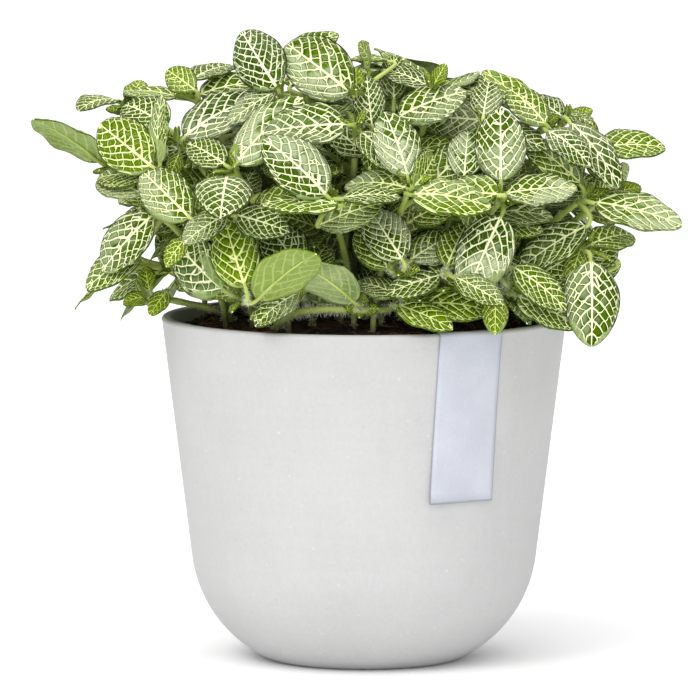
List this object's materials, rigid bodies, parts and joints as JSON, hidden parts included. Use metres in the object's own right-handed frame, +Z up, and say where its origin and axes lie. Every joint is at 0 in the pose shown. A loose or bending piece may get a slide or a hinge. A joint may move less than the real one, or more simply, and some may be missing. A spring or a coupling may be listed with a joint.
{
  "type": "potted nerve plant",
  "caption": "Low bushy nerve plant with net-veined oval leaves, in a plain round grey-white pot with a belly foot, filled with soil, with a bare paper tag over the rim.",
  "frame": {"origin": "centre of the pot's flat underside", "axes": "+Z up, along the pot's axis; -Y to the front, where the paper tag hangs to the right; +X to the right seen from the front"},
  "size_m": [0.2512, 0.2004, 0.2507],
  "materials": {
    "pot": "matte, light grey with faint specks",
    "soil": "loose dark peat",
    "paper": "smooth uncoated paper",
    "foliage": "satin green with pale veins"
  },
  "bodies": {
    "root": {"pot": "pot", "soil": "soil", "paper_tag": "paper", "leafy_stem_01": "foliage", "leafy_stem_02": "foliage", "leafy_stem_03": "foliage", "leafy_stem_04": "foliage", "leafy_stem_05": "foliage", "leafy_stem_06": "foliage", "leafy_stem_07": "foliage", "leafy_stem_08": "foliage", "leafy_stem_09": "foliage", "leafy_stem_10": "foliage", "leafy_stem_11": "foliage", "leafy_stem_12": "foliage", "leafy_stem_13": "foliage", "leafy_stem_14": "foliage", "leafy_stem_15": "foliage", "leafy_stem_16": "foliage", "leafy_stem_17": "foliage", "leafy_stem_18": "foliage", "leafy_stem_19": "foliage", "leafy_stem_20": "foliage", "leafy_stem_21": "foliage", "leafy_stem_22": "foliage", "leafy_stem_23": "foliage", "leafy_stem_24": "foliage", "leafy_stem_25": "foliage", "leafy_stem_26": "foliage", "leafy_stem_27": "foliage", "leafy_stem_28": "foliage", "leafy_stem_29": "foliage", "leafy_stem_30": "foliage", "leafy_stem_31": "foliage", "leafy_stem_32": "foliage", "leafy_stem_33": "foliage", "leafy_stem_34": "foliage", "leafy_stem_35": "foliage", "leafy_stem_36": "foliage", "leafy_stem_37": "foliage", "leafy_stem_38": "foliage", "leafy_stem_39": "foliage", "leafy_stem_40": "foliage", "leafy_stem_41": "foliage", "leafy_stem_42": "foliage", "leafy_stem_43": "foliage", "leafy_stem_44": "foliage", "leafy_stem_45": "foliage", "leafy_stem_46": "foliage", "leafy_stem_47": "foliage", "leafy_stem_48": "foliage", "leafy_stem_49": "foliage", "leafy_stem_50": "foliage", "leafy_stem_51": "foliage", "leafy_stem_52": "foliage", "leafy_stem_53": "foliage"}
  },
  "joints": []
}
